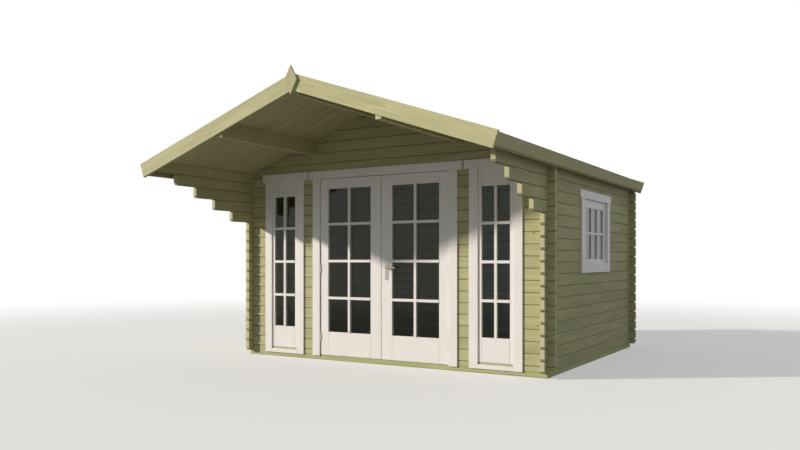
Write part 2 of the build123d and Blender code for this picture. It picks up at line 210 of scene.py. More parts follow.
    # treatment that took unevenly, then the board's own shade
    stainNoise = addNode(tree, "TexNoise", {"Vector": slowSpace.outputs[0], "Scale": 1.7, "Detail": 4.0})
    stainShare = addNode(tree, "MapRange", {
        "Value": stainNoise.outputs["Fac"], "From Min": 0.4, "From Max": 0.75, "To Max": 0.7,
    })
    stained = addNode(tree, "Mix", {
        0: stainShare.outputs[0], 6: wash.outputs[0], 7: linearColour(wood["stain"]),
    }, data_type="RGBA")
    shade = addNode(tree, "MapRange", {"Value": chance.outputs["Value"], "To Min": 0.93, "To Max": 1.05})
    board = addNode(tree, "HueSaturation", {"Value": shade.outputs[0], "Color": stained.outputs[2]})
    knotted = addNode(tree, "Mix", {
        0: knot.outputs[0], 6: board.outputs[0], 7: linearColour(wood["knot"]),
    }, data_type="RGBA")

    # arrises rub pale and fuzzy, and sawn ends are pale too
    widest = addSquareness(tree, place, turn)
    rubbed = addNode(tree, "MapRange", {
        "Value": widest.outputs[0], "From Min": 0.985, "From Max": 0.9, "To Max": 0.4,
    })
    rubbed = addNode(tree, "Math", {0: rubbed.outputs[0], 1: streaks.outputs["Fac"]}, operation="MULTIPLY")
    facing = addNode(
        tree, "VectorMath", {0: place.outputs["Normal"], 1: along}, operation="DOT_PRODUCT"
    )
    facing = addNode(tree, "Math", {0: facing.outputs["Value"]}, operation="ABSOLUTE")
    sawn = addNode(tree, "MapRange", {
        "Value": facing.outputs[0], "From Min": 0.75, "From Max": 0.95, "To Max": 0.32,
    })
    rubbed = addNode(tree, "Math", {0: rubbed.outputs[0], 1: sawn.outputs[0]}, operation="MAXIMUM")
    worn = addNode(tree, "Mix", {
        0: rubbed.outputs[0], 6: knotted.outputs[2], 7: linearColour(wood["worn"]),
    }, data_type="RGBA")

    # dirt and painted shade in the joints: the colour darkens towards the grooves between logs and boards
    fromMiddle = addNode(tree, "Math", {0: within.outputs[0], 1: 0.5}, operation="SUBTRACT")
    fromMiddle = addNode(tree, "Math", {0: fromMiddle.outputs[0]}, operation="ABSOLUTE")
    joint = addNode(tree, "MapRange", {
        "Value": fromMiddle.outputs[0], "From Min": 0.5 - 6 * mm / step, "From Max": 0.5 - 3 * mm / step,
        "To Max": jointShade,
    })
    jointDirtAndShade = addNode(tree, "Mix", {
        0: joint.outputs[0], 6: worn.outputs[2], 7: linearColour("#2C2716"),
    }, data_type="RGBA")

    low, high = wood["rough"]
    roughness = addNode(tree, "MapRange", {"Value": tone.outputs[0], "To Min": low, "To Max": high})
    lift = addNode(tree, "Math", {0: knot.outputs[0], 1: 0.4, 2: tone.outputs[0]}, operation="MULTIPLY_ADD")
    bump = addNode(
        tree, "Bump", {"Height": lift.outputs[0], "Strength": wood["bump"], "Distance": 1.2 * mm}
    )
    shader = addNode(tree, "BsdfPrincipled", {
        "Base Color": jointDirtAndShade.outputs[2], "Roughness": roughness.outputs[0], "Normal": bump.outputs[0],
        "IOR": 1.5,
    })
    addNode(tree, "OutputMaterial", {"Surface": shader.outputs[0]})
    return material


# Opaque white water-based paint, brushed on planed pine: warm white, satin, faint brush lines along the
# board, and knots that ghost through a little yellower.
whitePaint = {
    "coat": "#EEEAE7", "shade": "#E6E2DE", "ghost": "#DFD4C1", "worn": "#D8CDBB", "rough": (0.34, 0.5),
    "bump": 0.25,
}


def makePaint(name, turn, seed):
    material, tree = newMaterial(name)
    place = addNode(tree, "TexCoord")
    turned = addNode(tree, "Mapping", {
        "Vector": place.outputs["Object"], "Rotation": turn, "Location": (seed, 0, 0),
    })
    streakSpace = addNode(
        tree, "VectorMath", {0: turned.outputs[0], 1: (2.0, 70.0, 70.0)}, operation="MULTIPLY"
    )
    streaks = addNode(tree, "TexNoise", {"Vector": streakSpace.outputs[0], "Scale": 1.0, "Detail": 4.0})
    brushSpace = addNode(
        tree, "VectorMath", {0: turned.outputs[0], 1: (12.0, 700.0, 700.0)}, operation="MULTIPLY"
    )
    brush = addNode(tree, "TexNoise", {"Vector": brushSpace.outputs[0], "Scale": 1.0, "Detail": 2.0})
    patches = addNode(tree, "TexNoise", {"Vector": turned.outputs[0], "Scale": 3.5, "Detail": 3.0})
    mixed = addNode(
        tree, "Math", {0: streaks.outputs["Fac"], 1: patches.outputs["Fac"]}, operation="MULTIPLY"
    )
    share = addNode(tree, "MapRange", {"Value": mixed.outputs[0], "From Min": 0.14, "From Max": 0.42})
    coat = addNode(tree, "Mix", {
        0: share.outputs[0], 6: linearColour(whitePaint["coat"]), 7: linearColour(whitePaint["shade"]),
    }, data_type="RGBA")

    knotSpace = addNode(
        tree, "VectorMath", {0: turned.outputs[0], 1: (2.6, 3.2, 3.2)}, operation="MULTIPLY"
    )
    cells = addNode(tree, "TexVoronoi", {"Vector": knotSpace.outputs[0], "Scale": 1.0})
    knot = addNode(tree, "MapRange", {
        "Value": cells.outputs["Distance"], "From Min": 0.03, "From Max": 0.075,
        "To Min": 0.75, "To Max": 0.0,
    }, interpolation_type="SMOOTHSTEP")
    painted = addNode(tree, "Mix", {
        0: knot.outputs[0], 6: coat.outputs[2], 7: linearColour(whitePaint["ghost"]),
    }, data_type="RGBA")

    # the coat is thin on the arrises and wears through in places
    widest = addSquareness(tree, place, turn)
    rubbed = addNode(tree, "MapRange", {"Value": widest.outputs[0], "From Min": 0.95, "From Max": 0.8})
    rubbing = addNode(tree, "MapRange", {
        "Value": patches.outputs["Fac"], "From Min": 0.52, "From Max": 0.62, "To Max": 0.6,
    })
    rubbed = addNode(tree, "Math", {0: rubbed.outputs[0], 1: rubbing.outputs[0]}, operation="MULTIPLY")
    painted = addNode(tree, "Mix", {
        0: rubbed.outputs[0], 6: painted.outputs[2], 7: linearColour(whitePaint["worn"]),
    }, data_type="RGBA")

    low, high = whitePaint["rough"]
    roughness = addNode(
        tree, "MapRange", {"Value": streaks.outputs["Fac"], "To Min": low, "To Max": high}
    )
    lift = addNode(
        tree, "Math", {0: brush.outputs["Fac"], 1: 0.5, 2: streaks.outputs["Fac"]}, operation="MULTIPLY_ADD"
    )
    bump = addNode(tree, "Bump", {
        "Height": lift.outputs[0], "Strength": whitePaint["bump"], "Distance": 0.5 * mm,
    })
    shader = addNode(tree, "BsdfPrincipled", {
        "Base Color": painted.outputs[2], "Roughness": roughness.outputs[0], "Normal": bump.outputs[0],
        "IOR": 1.5,
    })
    addNode(tree, "OutputMaterial", {"Surface": shader.outputs[0]})
    return material


quarter = math.radians(90)
roofPitch = math.radians(18.9)
# in mm, shared by the wood's patterns and the pieces
logHeight = 114
roofFront, roofRear, roofBoards = -2236, 2236, 47
roofBoardWidth = (roofRear - roofFront) / roofBoards
floorSide, floorBoards = 1776, 37
floorBoardWidth = 2 * floorSide / floorBoards
slopeTurn = {
    side: (Matrix.Rotation(quarter, 3, "X") @ Matrix.Rotation(-side * roofPitch, 3, "Y")).to_euler()
    for side in (-1, 1)
}
slopeWay = {side: (math.cos(roofPitch), 0, -side * math.sin(roofPitch)) for side in (-1, 1)}

# the side walls' logs lie half a log lower than those of the front and rear walls
pineAcross = makeTimber(
    "treated_pine_logs_across", treatedPine, step=logHeight * mm, first=0.105, seed=3.0
)
pineDeep = makeTimber(
    "treated_pine_logs_deep", treatedPine, turn=(0, 0, -quarter), along=(0, 1, 0),
    step=logHeight * mm, first=0.048, seed=41.0,
)
pineBeamAcross = makeTimber("treated_pine_beam_across", freshPine, step=0.5, seed=71.0)
pineBeamDeep = makeTimber(
    "treated_pine_beam_deep", freshPine, turn=(0, 0, -quarter), along=(0, 1, 0), step=0.5, seed=77.0
)
pineRoof = {
    side: makeTimber(
        "treated_pine_roof_" + ("right" if side > 0 else "left"), treatedPine, turn=slopeTurn[side],
        along=slopeWay[side], step=roofBoardWidth * mm, first=roofFront * mm, seed=100.0 + side * 9,
        jointShade=0.3,
    )
    for side in (-1, 1)
}
pineBarge = {
    side: makeTimber(
        "treated_pine_barge_" + ("right" if side > 0 else "left"), treatedPine,
        turn=(0, -side * roofPitch, 0), along=slopeWay[side], seed=120.0 + side * 5, jointShade=0.0,
    )
    for side in (-1, 1)
}
pineEaves = makeTimber(
    "treated_pine_eaves", treatedPine, turn=(0, 0, -quarter), along=(0, 1, 0), step=1.4, seed=150.0,
    jointShade=0.0,
)
pineUpright = makeTimber(
    "treated_pine_upright", treatedPine, turn=(0, quarter, 0), along=(0, 0, 1), step=1.4, first=-0.7,
    seed=160.0, jointShade=0.0,
)
floorTurn = (Matrix.Rotation(quarter, 3, "X") @ Matrix.Rotation(-quarter, 3, "Z")).to_euler()
spruceFloor = makeTimber(
    "planed_spruce_floor", sprucePlaned, turn=floorTurn, along=(0, 1, 0), step=floorBoardWidth * mm,
    first=-floorSide * mm, seed=200.0, jointShade=0.5,
)
paintUpright = makePaint("white_paint_upright", (0, quarter, 0), 0.0)
paintAcross = makePaint("white_paint_across", (0, 0, 0), 5.0)
paintDeep = makePaint("white_paint_deep", (0, 0, -quarter), 9.0)

# Float glass, cast flat on tin: clear, a little green in its depth, sharp reflections.
# Its IOR is under glass's own 1.5, so that the white studio doesn't wash the panes out.
glass, tree = newMaterial("float_glass")
place = addNode(tree, "TexCoord")
smear = addNode(tree, "TexNoise", {"Vector": place.outputs["Object"], "Scale": 5.0, "Detail": 3.0})
smearRough = addNode(tree, "MapRange", {
    "Value": smear.outputs["Fac"], "From Min": 0.4, "From Max": 0.8, "To Max": 0.03,
})
shader = addNode(tree, "BsdfPrincipled", {
    "Base Color": linearColour("#C3CBC4"), "Roughness": smearRough.outputs[0], "IOR": 1.3,
    "Transmission Weight": 1.0,
})
addNode(tree, "OutputMaterial", {"Surface": shader.outputs[0]})

# Bitumen felt with crushed slate rolled into it: near black, granular, matt.
# The grit is about 1 mm and is drawn 4 mm so that it shows. Rain leaves faint runs down the slope.
felt, tree = newMaterial("mineral_roofing_felt")
place = addNode(tree, "TexCoord")
grit = addNode(tree, "TexVoronoi", {"Vector": place.outputs["Object"], "Scale": 260.0})
washed = addNode(
    tree, "VectorMath", {0: place.outputs["Object"], 1: (0.5, 4.5, 0.5)}, operation="MULTIPLY"
)
streaked = addNode(tree, "TexNoise", {"Vector": washed.outputs[0], "Scale": 2.2, "Detail": 5.0})
fade = addNode(tree, "MapRange", {
    "Value": streaked.outputs["Fac"], "From Min": 0.3, "From Max": 0.7, "To Min": 0.34, "To Max": 0.6,
})
gritTone = addNode(tree, "SeparateColor", {0: grit.outputs["Color"]})
gritMix = addNode(
    tree, "Math", {0: gritTone.outputs[0], 1: 0.6, 2: fade.outputs[0]}, operation="MULTIPLY_ADD"
)
gritColour = addNode(
    tree, "ValToRGB", {0: gritMix.outputs[0]},
    stops=[(0.3, "#26272A"), (0.7, "#3A3B3E"), (1.0, "#5B5C5E")],
)
gritBump = addNode(
    tree, "Bump", {"Height": grit.outputs["Distance"], "Strength": 0.6, "Distance": 0.8 * mm}
)
shader = addNode(tree, "BsdfPrincipled", {
    "Base Color": gritColour.outputs[0], "Roughness": 0.9, "Normal": gritBump.outputs[0],
})
addNode(tree, "OutputMaterial", {"Surface": shader.outputs[0]})


def makeMetal(name, scale, detail, colours, rough, bump=0.0, depth=0.0, metallic=1.0):
    # one noise, as fine along each axis as scale says, drives the colour, the roughness and the bump
    material, tree = newMaterial(name)
    place = addNode(tree, "TexCoord")
    spread = addNode(tree, "VectorMath", {0: place.outputs["Object"], 1: scale}, operation="MULTIPLY")
    noise = addNode(tree, "TexNoise", {"Vector": spread.outputs[0], "Scale": 1.0, "Detail": detail})
    colour = addNode(
        tree, "ValToRGB", {0: noise.outputs["Fac"]}, stops=[(0.3, colours[0]), (0.7, colours[1])]
    )
    roughness = addNode(
        tree, "MapRange", {"Value": noise.outputs["Fac"], "To Min": rough[0], "To Max": rough[1]}
    )
    shader = addNode(tree, "BsdfPrincipled", {
        "Base Color": colour.outputs[0], "Metallic": metallic, "Roughness": roughness.outputs[0],
    })
    if bump:
        lift = addNode(
            tree, "Bump", {"Height": noise.outputs["Fac"], "Strength": bump, "Distance": depth}
        )
        tree.links.new(lift.outputs[0], shader.inputs["Normal"])
    addNode(tree, "OutputMaterial", {"Surface": shader.outputs[0]})
    return material


# Satin stainless steel: cast, then brushed, a warm grey whose highlight is soft and drawn out
steel = makeMetal(
    "satin_stainless_steel", (60, 900, 900), 3.0, ("#A29A8F", "#B3ABA0"), (0.22, 0.42), 0.2, 0.1 * mm
)
# White powder-coated steel for the hinges: even, satin, with a fine orange peel of about 2 mm
coated = makeMetal(
    "powder_coated_steel", (500,) * 3, 1.0, ("#E6E3E0", "#EEECE9"), (0.32, 0.44), 0.3, 0.2 * mm, metallic=0.0
)
# Zinc-plated steel for screws and nails: bluish grey, dull in patches
zinc = makeMetal("zinc_plated_steel", (300,) * 3, 2.0, ("#8E9193", "#A9ABAA"), (0.4, 0.65))

# Painted shade standing for the shadowed brass inside the lock: dark and dull, mottled a little
keyholeShade, tree = newMaterial("painted_keyhole_shade")
place = addNode(tree, "TexCoord")
keyholeMottle = addNode(tree, "TexNoise", {"Vector": place.outputs["Object"], "Scale": 800.0, "Detail": 2.0})
keyholeShadeColour = addNode(
    tree, "ValToRGB", {0: keyholeMottle.outputs["Fac"]}, stops=[(0.3, "#15130F"), (0.7, "#2A2419")]
)
shader = addNode(tree, "BsdfPrincipled", {"Base Color": keyholeShadeColour.outputs[0], "Roughness": 0.7})
addNode(tree, "OutputMaterial", {"Surface": shader.outputs[0]})
print("materials made:", len(bpy.data.materials))


def addBoard(low, high, material, arris=1.5, segments=2):
    # a planed board between two corners in mm, its arrises eased
    bpy.ops.object.select_all(action="DESELECT")
    middle = [(a + b) / 2 * mm for a, b in zip(low, high)]
    size = [(b - a) * mm for a, b in zip(low, high)]
    bpy.ops.mesh.primitive_cube_add(size=1, location=middle, scale=size)
    board = bpy.context.object
    bpy.ops.object.transform_apply()
    bpy.ops.object.mode_set(mode="EDIT")
    bpy.ops.mesh.bevel(offset=arris * mm, segments=segments, affect="EDGES")
    bpy.ops.object.mode_set(mode="OBJECT")
    board.data.materials.append(material)
    return board


def addDisc(place, radius, depth, arris, material):
    # a short round piece in mm whose axis points at the door, its arrises eased
    bpy.ops.object.select_all(action="DESELECT")
    bpy.ops.mesh.primitive_cylinder_add(
        vertices=32, radius=radius * mm, depth=depth * mm, location=[v * mm for v in place],
        rotation=(quarter, 0, 0),
    )
    disc = bpy.context.object
    bpy.ops.object.transform_apply()
    bpy.ops.object.mode_set(mode="EDIT")
    bpy.ops.mesh.bevel(offset=arris * mm, segments=2, affect="EDGES")
    bpy.ops.object.mode_set(mode="OBJECT")
    disc.data.materials.append(material)
    return disc


def repeatPiece(piece, count, step):
    # a row of copies of the active piece, step metres from one to the next
    row = piece.modifiers.new("row", "ARRAY")
    row.count = count
    row.use_relative_offset = False
    row.use_constant_offset = True
    row.constant_offset_displace = step
    bpy.ops.object.modifier_apply(modifier="row")


def joinPieces(name, pieces):
    bpy.ops.object.select_all(action="DESELECT")
    for piece in pieces:
        piece.select_set(True)
    bpy.context.view_layer.objects.active = pieces[0]
    if len(pieces) > 1:
        bpy.ops.object.join()
    joined = bpy.context.object
    joined.name = name
    joined.data.name = name
    return joined


def finishPiece(piece, body, slot, *replaced, angle=50):
    # arrises shade as round while the flat faces beside them stay flat
    bpy.ops.object.select_all(action="DESELECT")
    piece.select_set(True)
    bpy.context.view_layer.objects.active = piece
    bpy.ops.object.transform_apply()
    bpy.ops.object.shade_smooth_by_angle(angle=math.radians(angle))
    weighted = piece.modifiers.new("weighted_normals", "WEIGHTED_NORMAL")
    weighted.keep_sharp = True
    bpy.ops.object.modifier_apply(modifier="weighted_normals")
    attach(piece, body)
    if replaced:
        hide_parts(*replaced)


def easedCopy(nodeName, name, material, arris):
    # the CAD node's own shape with its arrises eased
    copied = bpy.data.objects.new(name, nodes[nodeName].data.copy())
    bpy.context.scene.collection.objects.link(copied)
    bpy.ops.object.select_all(action="DESELECT")
    copied.select_set(True)
    bpy.context.view_layer.objects.active = copied
    bpy.ops.object.mode_set(mode="EDIT")
    bpy.ops.mesh.select_all(action="SELECT")
    bpy.ops.mesh.remove_doubles(threshold=0.00002)
    bpy.ops.mesh.dissolve_limited(angle_limit=math.radians(1))
    bpy.ops.object.mode_set(mode="OBJECT")
    easing = copied.modifiers.new("easing", "BEVEL")
    easing.width = arris * mm
    easing.segments = 2
    easing.limit_method = "ANGLE"
    easing.angle_limit = math.radians(30)
    bpy.ops.object.modifier_apply(modifier="easing")
    copied.data.materials.clear()
    copied.data.materials.append(material)
    return copied


# in mm, but the rim is a share of the radius
screwSet = {"thick": 1.6, "middle": 0.6, "rim": 0.3, "dome": 0.5}


def addScrew(place, way, material, radius):
    # a domed screw head whose flat back sits in the surface at place, facing way
    bpy.ops.object.select_all(action="DESELECT")
    turn = Vector(way).to_track_quat("Z", "Y").to_euler()
    bpy.ops.mesh.primitive_cylinder_add(
        vertices=12, radius=radius * mm, depth=screwSet["thick"] * mm, rotation=turn,
        location=(Vector(place) + Vector(way) * screwSet["middle"]) * mm,
    )
    head = bpy.context.object
    bpy.ops.object.transform_apply()
    bpy.ops.object.mode_set(mode="EDIT")
    bpy.ops.mesh.select_mode(type="FACE")
    bpy.ops.mesh.select_all(action="DESELECT")
    bpy.ops.object.mode_set(mode="OBJECT")
    for face in head.data.polygons:
        face.select = face.normal.dot(Vector(way)) > 0.9
    bpy.ops.object.mode_set(mode="EDIT")
    bpy.ops.mesh.inset(thickness=radius * screwSet["rim"] * mm)
    bpy.ops.transform.translate(value=Vector(way) * screwSet["dome"] * mm)
    bpy.ops.object.mode_set(mode="OBJECT")
    head.data.materials.append(material)
    return head


# CAD nodes that keep their shape
finishes = {
    paintUpright: ["door_jambs"],
    paintAcross: ["door_head", "door_threshold"],
    glass: [
        "left_window_glass", "right_window_glass", "side_window_glass", "left_door_glass",
        "right_door_glass",
    ],
    coated: ["door_hinge_pins", "left_door_hinges", "right_door_hinges"],
}
for material, names in finishes.items():
    for name in names:
        for slot in nodes[name].material_slots:
            slot.material = material

# Roof boards: 19 mm planks with a V joint, ridge to eave
roof = {"ridge": 2708.07, "length": 2057.07, "pastRidge": 12, "thick": 19, "vJoint": 3}


def tilt(piece, side):
    # from flat beside the ridge line to the roof's slope
    piece.rotation_euler = (0, side * roofPitch, 0)
    piece.location = (0, 0, roof["ridge"] * mm)
    bpy.ops.object.transform_apply()


for side, word in ((-1, "left"), (1, "right")):
    ends = sorted((-side * roof["pastRidge"], side * roof["length"]))
    plank = addBoard(
        (ends[0], roofFront, 0), (ends[1], roofFront + roofBoardWidth, roof["thick"]), pineRoof[side],
        arris=0.6, segments=1,
    )
    # the long edges of the underside get the V
    bpy.ops.object.mode_set(mode="EDIT")
    bpy.ops.mesh.select_mode(type="EDGE")
    bpy.ops.mesh.select_all(action="DESELECT")
    bpy.ops.object.mode_set(mode="OBJECT")
    for edge in plank.data.edges:
        a, b = (plank.data.vertices[i].co for i in edge.vertices)
        long = abs(a.x - b.x) > 1
        edge.select = long and abs(a.z) + abs(b.z) < 0.2 * mm
    bpy.ops.object.mode_set(mode="EDIT")
    bpy.ops.mesh.bevel(offset=roof["vJoint"] * mm, segments=1, affect="EDGES", clamp_overlap=False)
    bpy.ops.object.mode_set(mode="OBJECT")
    repeatPiece(plank, roofBoards, (0, roofBoardWidth * mm, 0))
    tilt(plank, side)
    # both slopes end upright against each other at the ridge
    bpy.ops.object.mode_set(mode="EDIT")
    bpy.ops.mesh.select_all(action="SELECT")
    bpy.ops.mesh.bisect(plane_co=(0, 0, 0), plane_no=(-side, 0, 0), use_fill=True, clear_outer=True)
    bpy.ops.object.mode_set(mode="OBJECT")
    plank.name = word + "_roof_planks"
    finishPiece(plank, "cabin", "treated_pine", word + "_roof_boards", angle=30)
print("roof boards laid")

# Logs, foundation, purlins, eaves, barge boards and finials: the CAD shapes with eased arrises, in mm
timbers = {
    (pineAcross, 1.2): [
        "front_sill_logs", "front_wall_left_end", "front_wall_piers", "front_wall_right_end",
        "front_gable", "rear_wall",
    ],
    (pineDeep, 1.2): ["left_wall", "left_eaves_logs", "right_wall", "right_eaves_logs"],
    (pineBeamAcross, 2.0): ["front_foundation_beam", "rear_foundation_beam"],
    (pineBeamDeep, 2.0): ["side_foundation_beams"],
    (pineBarge[-1], 2.5): ["left_barge_boards"],
    (pineBarge[1], 2.5): ["right_barge_boards"],
    (pineEaves, 2.0): ["eaves_fascias"],
    (pineEaves, 1.5): ["eaves_battens"],
    (pineEaves, 2.5): ["ridge_purlin", "side_purlins"],
    (pineUpright, 2.0): ["ridge_finials"],
}
ridgeEndCut = 48  # the ridge purlin's ends are cut back below the barge boards
for (material, arris), names in timbers.items():
    for nodeName in names:
        piece = easedCopy(nodeName, nodeName + "_eased", material, arris)
        if nodeName == "ridge_purlin":
            low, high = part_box(nodeName)
            bpy.ops.object.mode_set(mode="EDIT")
            for end, way in ((low.y + ridgeEndCut * mm, -1), (high.y - ridgeEndCut * mm, 1)):
                bpy.ops.mesh.select_all(action="SELECT")
                bpy.ops.mesh.bisect(
                    plane_co=(0, end, low.z), plane_no=(0, way, -1), use_fill=True, clear_outer=True
                )
            bpy.ops.object.mode_set(mode="OBJECT")
        finishPiece(piece, "cabin", "treated_pine", nodeName)
print("logs and timbers eased")

# Floor boards, front to back
floorSet = {"front": -755, "rear": 2117, "foot": 48, "top": 67}
board = addBoard(
    (-floorSide, floorSet["front"], floorSet["foot"]),
    (floorBoardWidth - floorSide, floorSet["rear"], floorSet["top"]), spruceFloor, segments=1,
)
repeatPiece(board, floorBoards, (floorBoardWidth * mm, 0, 0))
board.name = "floor_planks"
finishPiece(board, "cabin", "floor_pine", "floor", angle=30)

# Roofing felt: strips along the eaves, the upper one lapping the lower, and a cap over the ridge
feltSet = {
    "thick": 2.8, "deck": 19.2, "strips": ((985, 2075.07), (4, 1075)), "climb": (30, 2), "overLap": 0.4,
    "cap": 150, "overStrip": 0.3, "fold": 10,
}
nailSet = {
    "radius": 5, "spacing": 149, "rows": (136, 1060, 2066), "inRow": 30, "fromFront": 60,
    "bargeStart": 230, "inBargeRow": 12, "fromEdge": 18,
}


def selectPoints(piece, test):
    bpy.ops.object.mode_set(mode="EDIT")
    bpy.ops.mesh.select_mode(type="VERT")
    bpy.ops.mesh.select_all(action="DESELECT")
    bpy.ops.object.mode_set(mode="OBJECT")
    for point in piece.data.vertices:
        point.select = test(point.co / mm)
    bpy.ops.object.mode_set(mode="EDIT")


def thicken(sheet, thick):
    shell = sheet.modifiers.new("shell", "SOLIDIFY")
    shell.thickness = thick * mm
    shell.offset = 1
    bpy.ops.object.modifier_apply(modifier="shell")


def addSheet(x0, x1, y0, y1, z):
    bpy.ops.object.select_all(action="DESELECT")
    bpy.ops.mesh.primitive_plane_add(size=1, location=((x0 + x1) / 2 * mm, (y0 + y1) / 2 * mm, z * mm))
    sheet = bpy.context.object
    sheet.scale = ((x1 - x0) * mm, (y1 - y0) * mm, 1)
    bpy.ops.object.transform_apply()
    return sheet


strips = []
lowerStart = feltSet["strips"][0][0]
for side in (-1, 1):
    for start, end in feltSet["strips"]:
        x = sorted((side * start, side * end))
        strip = addSheet(x[0], x[1], roofFront, roofRear, feltSet["deck"])
        if start < lowerStart < end:
            # the lap climbs over the edge of the strip below
            bpy.ops.object.mode_set(mode="EDIT")
            for before in feltSet["climb"]:
                bpy.ops.mesh.select_all(action="SELECT")
                bpy.ops.mesh.bisect(plane_co=(side * (lowerStart - before) * mm, 0, 0), plane_no=(1, 0, 0))
            selectPoints(strip, lambda p: abs(p.x) > lowerStart - feltSet["climb"][1] - 1)
            bpy.ops.transform.translate(value=(0, 0, (feltSet["thick"] + feltSet["overLap"]) * mm))
            bpy.ops.object.mode_set(mode="OBJECT")
        thicken(strip, feltSet["thick"])
        tilt(strip, side)
        strip.data.materials.append(felt)
        strips.append(strip)

capReach = feltSet["cap"] * math.cos(roofPitch)
capFold = feltSet["fold"]
capTop = roof["ridge"] + (feltSet["deck"] + feltSet["thick"] + feltSet["overStrip"]) / math.cos(roofPitch)
cap = addSheet(-capReach, capReach, roofFront, roofRear, capTop)
bpy.ops.object.mode_set(mode="EDIT")
for place in (-capFold, 0, capFold):
    bpy.ops.mesh.select_all(action="SELECT")
    bpy.ops.mesh.bisect(plane_co=(place * mm, 0, 0), plane_no=(1, 0, 0))
for reach in (capFold, capReach):
    selectPoints(cap, lambda p: abs(abs(p.x) - reach) < 1)
    bpy.ops.transform.translate(value=(0, 0, -reach * math.tan(roofPitch) * mm))
selectPoints(cap, lambda p: abs(p.x) < 1)
bpy.ops.transform.translate(value=(0, 0, -capFold * math.tan(roofPitch) / 2 * mm))
bpy.ops.object.mode_set(mode="OBJECT")
thicken(cap, feltSet["thick"])
cap.data.materials.append(felt)
strips.append(cap)
feltPiece = joinPieces("felt_strips", strips)
finishPiece(feltPiece, "cabin", "felt", "roofing_felt", angle=30)

# Clout nails with wide flat heads along the laps, the eaves and the barge boards
nails = []
feltTop = feltSet["deck"] + feltSet["thick"]
for side in (-1, 1):
    for number, level in enumerate(nailSet["rows"]):
        # the first two rows go through two layers
        height = feltTop + (feltSet["thick"] + feltSet["overLap"] if number < 2 else 0)
        place = (side * level, roofFront + nailSet["fromFront"], height)
        nail = addScrew(place, (0, 0, 1), zinc, nailSet["radius"])
        repeatPiece(nail, nailSet["inRow"], (0, nailSet["spacing"] * mm, 0))
        tilt(nail, side)
        nails.append(nail)
    for back in (roofFront + nailSet["fromEdge"], roofRear - nailSet["fromEdge"]):
        nail = addScrew((side * nailSet["bargeStart"], back, feltTop), (0, 0, 1), zinc, nailSet["radius"])
        repeatPiece(nail, nailSet["inBargeRow"], (side * nailSet["spacing"] * mm, 0, 0))
        tilt(nail, side)
        nails.append(nail)
finishPiece(joinPieces("clout_nails", nails), "cabin", "steel")
print("floor and felt laid")


# Joinery: frames, bars and trims in painted pine
def addFrame(low, high, widths, arris=1.5, axis=0, gap=1.0):
    # stiles run the full height, rails fit between them; widths are left, right, bottom and top
    left, right, bottom, top = widths
    across = paintAcross if axis == 0 else paintDeep
    stileLeft = list(high)
    stileLeft[axis] = low[axis] + left
    stileRight = list(low)
    stileRight[axis] = high[axis] - right
    made = [addBoard(low, stileLeft, paintUpright, arris), addBoard(stileRight, high, paintUpright, arris)]
    for share, level in ((bottom, low[2]), (top, high[2] - top)):
        if share:
            railLow = list(low)
            railLow[axis] += left + gap
            railLow[2] = level
            railHigh = list(high)
            railHigh[axis] -= right + gap
            railHigh[2] = level + share
            made.append(addBoard(railLow, railHigh, across, arris))
    return made


def addBars(low, high, uprights, levels, upWidth, levelWidth, laps=(0, 0, 0), arris=1.5, axis=0):
    # a grid of glazing bars between two corners; laps are how far its ends pass the sides, foot and head
    across = paintAcross if axis == 0 else paintDeep
    sunk = 0.4  # the cross bars lie a hair lower, as painted halving joints do
    made = []
    for middle in uprights:
        barLow = list(low)
        barLow[axis] = middle - upWidth / 2
        barLow[2] -= laps[1]
        barHigh = list(high)
        barHigh[axis] = middle + upWidth / 2
        barHigh[2] += laps[2]
        made.append(addBoard(barLow, barHigh, paintUpright, arris))
    for level in levels:
        barLow = list(low)
        barLow[axis] -= laps[0]
        barLow[1 - axis] += sunk
        barLow[2] = level - levelWidth / 2
        barHigh = list(high)
        barHigh[axis] += laps[0]
        barHigh[1 - axis] -= sunk
        barHigh[2] = level + levelWidth / 2
        made.append(addBoard(barLow, barHigh, across, arris))
    return made


# opening: its edges from the middle of the door, its foot and its head
# grids: front and back of the outer and the inner bars, and how far their ends pass the sash
doorSet = {
    "edge": 794, "meeting": 3.5, "bottom": 53, "top": 1980, "front": -801, "rear": -759,
    "opening": (133.5, 687, 309, 1871), "levels": (1485, 1082, 680), "barWidth": 28,
    "grids": ((-806, -782.5, (3, 3, 30)), (-775.5, -763, (-1, -1, -1))),
}
for side, word in ((-1, "left"), (1, "right")):
    inner, outer, sill, lintel = doorSet["opening"]
    x = sorted((side * doorSet["meeting"], side * doorSet["edge"]))
    stiles = (inner - doorSet["meeting"], doorSet["edge"] - outer)
    stiles = stiles if side > 0 else stiles[::-1]
    boards = addFrame(
        (x[0], doorSet["front"], doorSet["bottom"]), (x[1], doorSet["rear"], doorSet["top"]),
        (*stiles, sill - doorSet["bottom"], doorSet["top"] - lintel), arris=1.8,
    )
    opening = sorted((side * inner, side * outer))
    for front, rear, laps in doorSet["grids"]:
        boards += addBars(
            (opening[0], front, sill), (opening[1], rear, lintel), [sum(opening) / 2], doorSet["levels"],
            doorSet["barWidth"], doorSet["barWidth"], laps,
        )
    leaf = joinPieces(word + "_door_joinery", boards)
    finishPiece(leaf, word + "_door", "white_paint", word + "_door_leaf")
print("door leaves made")

# the frame's face and back, then the sash inside it, then the bars on both sides of the glass
tallSet = {
    "centre": 1301, "half": 228, "bottom": 105, "top": 2043, "face": -801, "back": -755, "sill": 10,
    "sash": 36, "sashTop": 2003, "sashFace": -800, "sashBack": -758,
    "glassHalf": 147, "glassBottom": 344, "glassTop": 1810, "seat": 0.5,
    "levels": (1451, 1076, 700), "barWidth": 28, "barFace": -804, "barBack": -764,
}
